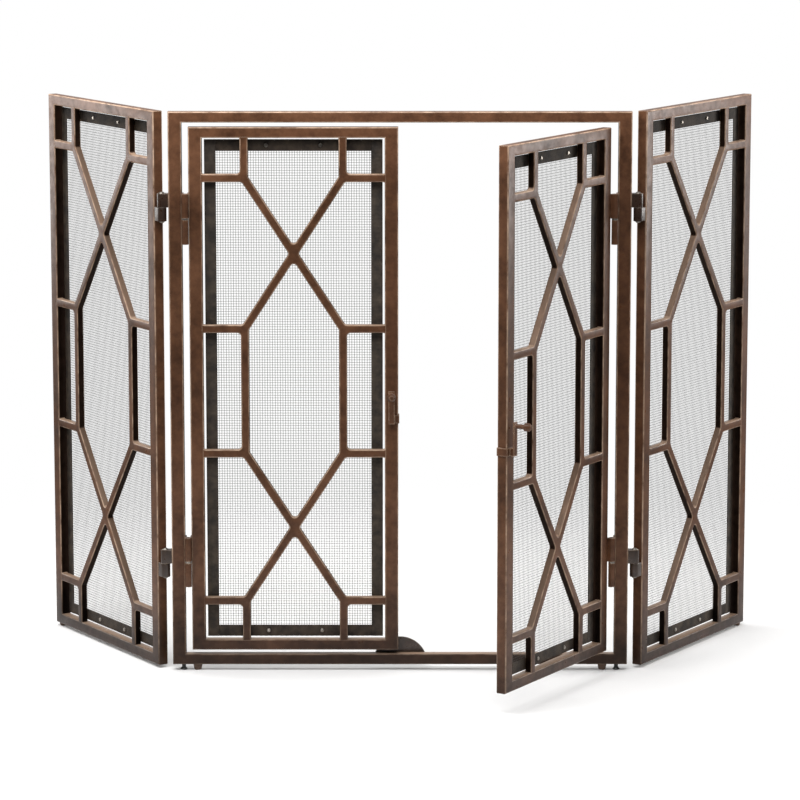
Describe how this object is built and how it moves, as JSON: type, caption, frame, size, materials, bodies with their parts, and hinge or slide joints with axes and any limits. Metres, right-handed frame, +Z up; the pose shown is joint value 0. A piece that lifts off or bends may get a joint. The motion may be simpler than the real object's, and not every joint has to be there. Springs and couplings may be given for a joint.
{
  "type": "fireplace screen",
  "caption": "Folding metal fireplace screen: a centre frame with hinged lattice doors over woven mesh, and a folding lattice wing on each side.",
  "frame": {"origin": "on the floor, in the middle of the space that the screen takes up as it stands", "axes": "+X to the right along the centre frame, +Y to the back (towards the fire), +Z up"},
  "size_m": [1.0832, 0.5907, 0.838],
  "materials": {
    "bronze_paint": "antique bronze, semi-gloss, rubbed lighter on the edges",
    "woven_mesh": "matt black woven wire",
    "mesh_hem": "matt black woven wire, doubled over",
    "bright_steel": "plain steel",
    "black_glide": "black",
    "brown_foot": "brown with a dark tip"
  },
  "bodies": {
    "center_frame": {"centre_bottom_rail": "bronze_paint", "centre_feet": "brown_foot", "centre_glides": "black_glide", "centre_left_jamb": "bronze_paint", "centre_right_jamb": "bronze_paint", "centre_top_rail": "bronze_paint", "door_stop": "bronze_paint", "left_door_hinge_jamb_leaves": "bronze_paint", "left_door_hinge_pins": "bright_steel", "left_wing_hinge_jamb_leaves": "bronze_paint", "left_wing_hinge_pins": "bright_steel", "right_door_hinge_jamb_leaves": "bronze_paint", "right_door_hinge_pins": "bright_steel", "right_wing_hinge_jamb_leaves": "bronze_paint", "right_wing_hinge_pins": "bright_steel"},
    "left_door": {"left_door_bottom_rail": "bronze_paint", "left_door_hem": "mesh_hem", "left_door_hem_screws": "bright_steel", "left_door_hinge_door_leaves": "bronze_paint", "left_door_hinge_stile": "bronze_paint", "left_door_lattice_bars": "bronze_paint", "left_door_lattice_diagonals": "bronze_paint", "left_door_meeting_stile": "bronze_paint", "left_door_mesh": "woven_mesh", "left_door_pull": "bronze_paint", "left_door_top_rail": "bronze_paint"},
    "right_door": {"right_door_bottom_rail": "bronze_paint", "right_door_hem": "mesh_hem", "right_door_hem_screws": "bright_steel", "right_door_hinge_door_leaves": "bronze_paint", "right_door_hinge_stile": "bronze_paint", "right_door_lattice_bars": "bronze_paint", "right_door_lattice_diagonals": "bronze_paint", "right_door_meeting_stile": "bronze_paint", "right_door_mesh": "woven_mesh", "right_door_pull": "bronze_paint", "right_door_top_rail": "bronze_paint"},
    "left_wing": {"left_wing_bottom_rail": "bronze_paint", "left_wing_foot": "brown_foot", "left_wing_hem": "mesh_hem", "left_wing_hem_screws": "bright_steel", "left_wing_hinge_wing_leaves": "bronze_paint", "left_wing_inner_stile": "bronze_paint", "left_wing_lattice_bars": "bronze_paint", "left_wing_lattice_diagonals": "bronze_paint", "left_wing_mesh": "woven_mesh", "left_wing_outer_stile": "bronze_paint", "left_wing_top_rail": "bronze_paint"},
    "right_wing": {"right_wing_bottom_rail": "bronze_paint", "right_wing_foot": "brown_foot", "right_wing_hem": "mesh_hem", "right_wing_hem_screws": "bright_steel", "right_wing_hinge_wing_leaves": "bronze_paint", "right_wing_inner_stile": "bronze_paint", "right_wing_lattice_bars": "bronze_paint", "right_wing_lattice_diagonals": "bronze_paint", "right_wing_mesh": "woven_mesh", "right_wing_outer_stile": "bronze_paint", "right_wing_top_rail": "bronze_paint"}
  },
  "joints": [
    {"name": "left_door_hinge", "type": "hinge", "parent": "center_frame", "child": "left_door", "pos_m": [-0.31525, -0.0173, 0.42], "axis": [0, 0, 1], "range_deg": [-120, 0]},
    {"name": "right_door_hinge", "type": "hinge", "parent": "center_frame", "child": "right_door", "pos_m": [0.31525, -0.0173, 0.42], "axis": [0, 0, 1], "range_deg": [-59, 61]},
    {"name": "left_wing_hinge", "type": "hinge", "parent": "center_frame", "child": "left_wing", "pos_m": [-0.35, -0.005, 0.42], "axis": [0, 0, 1], "range_deg": [-32, 58]},
    {"name": "right_wing_hinge", "type": "hinge", "parent": "center_frame", "child": "right_wing", "pos_m": [0.35, -0.005, 0.42], "axis": [0, 0, 1], "range_deg": [-58, 32]}
  ]
}
